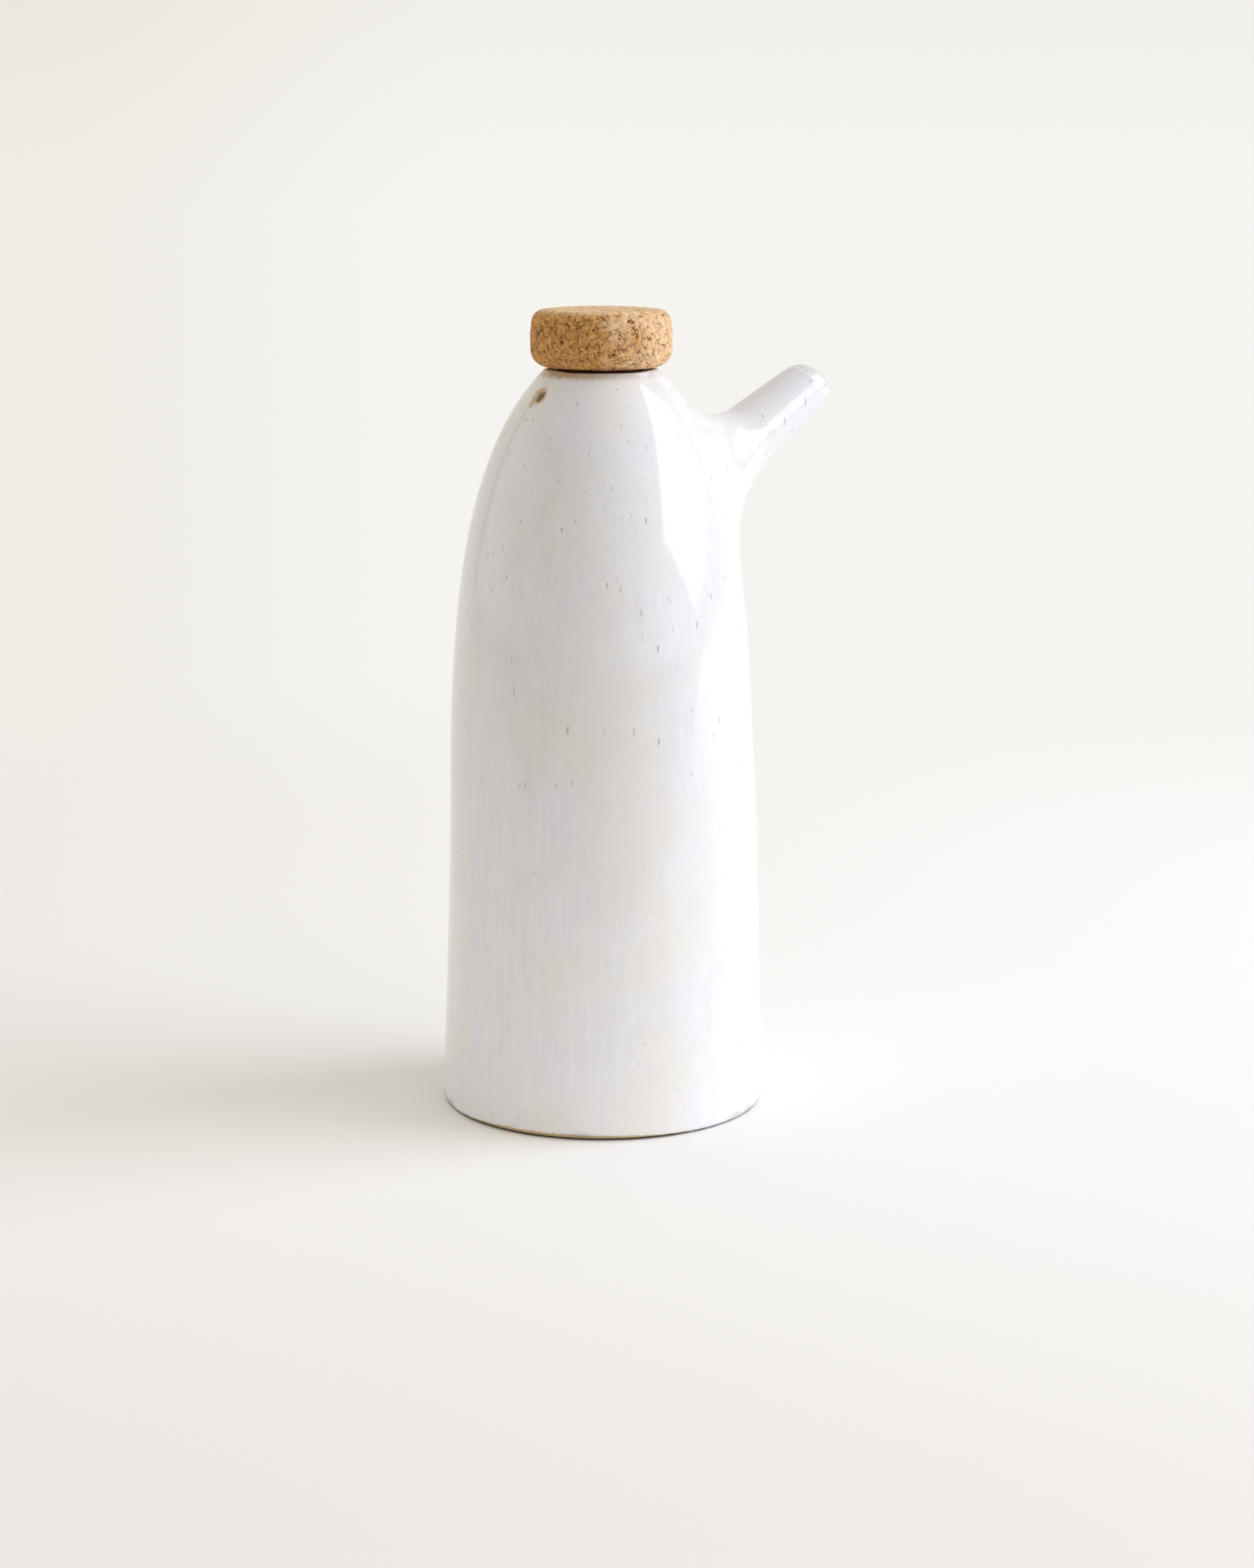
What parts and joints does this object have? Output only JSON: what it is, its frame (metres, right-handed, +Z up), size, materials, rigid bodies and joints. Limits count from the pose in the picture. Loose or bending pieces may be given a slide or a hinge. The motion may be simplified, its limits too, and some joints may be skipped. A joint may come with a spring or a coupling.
{
  "type": "oil bottle",
  "caption": "Tall glazed stoneware bottle with rounded shoulders, a slanted pouring spout, a vent hole and a round lift-off cork stopper.",
  "frame": {"origin": "centre of the flat foot, on the bottle's axis", "axes": "+Z up along the bottle's axis, +X towards the spout"},
  "size_m": [0.1085, 0.08, 0.196],
  "materials": {
    "foot_glaze": "gloss off-white glaze over a bare clay underside",
    "belly_glaze": "gloss off-white glaze",
    "shoulder_glaze": "gloss off-white glaze",
    "neck_glaze": "gloss off-white glaze",
    "spout_glaze": "gloss off-white glaze",
    "head_cork": "matt pressed cork",
    "plug_cork": "matt pressed cork"
  },
  "bodies": {
    "bottle": {"foot": "foot_glaze", "belly": "belly_glaze", "shoulder": "shoulder_glaze", "neck": "neck_glaze", "spout": "spout_glaze"},
    "stopper": {"stopper_head": "head_cork", "stopper_plug": "plug_cork"}
  },
  "joints": [
    {"name": "stopper_lift", "type": "slide", "parent": "bottle", "child": "stopper", "axis": [0, 0, 1], "range_m": [0, 0.045]}
  ]
}
